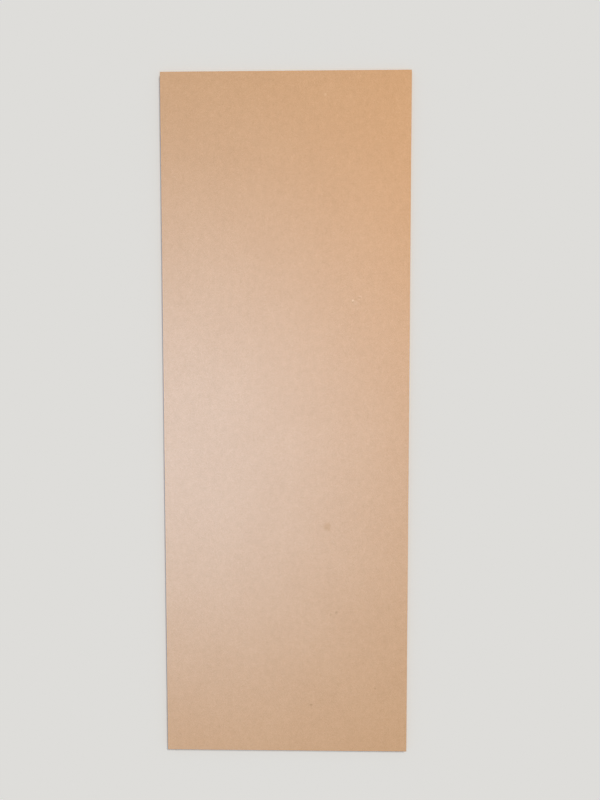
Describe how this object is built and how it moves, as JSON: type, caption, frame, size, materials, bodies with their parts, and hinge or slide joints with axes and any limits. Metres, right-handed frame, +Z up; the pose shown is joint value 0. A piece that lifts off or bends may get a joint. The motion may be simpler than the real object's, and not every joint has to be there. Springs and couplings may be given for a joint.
{
  "type": "particle board",
  "caption": "Plain rectangular wood-particle panel with a smooth tan face and square sawn edges, for shelving, flooring and furniture carcasses.",
  "frame": {"origin": "centre of the underside, on the floor it lies on", "axes": "+X across the board, +Y along it towards the end that stands highest in the picture, +Z up through its thickness"},
  "size_m": [0.72, 2, 0.012],
  "materials": {
    "particle_board": "matte"
  },
  "bodies": {
    "root": {"board": "particle_board"}
  },
  "joints": []
}
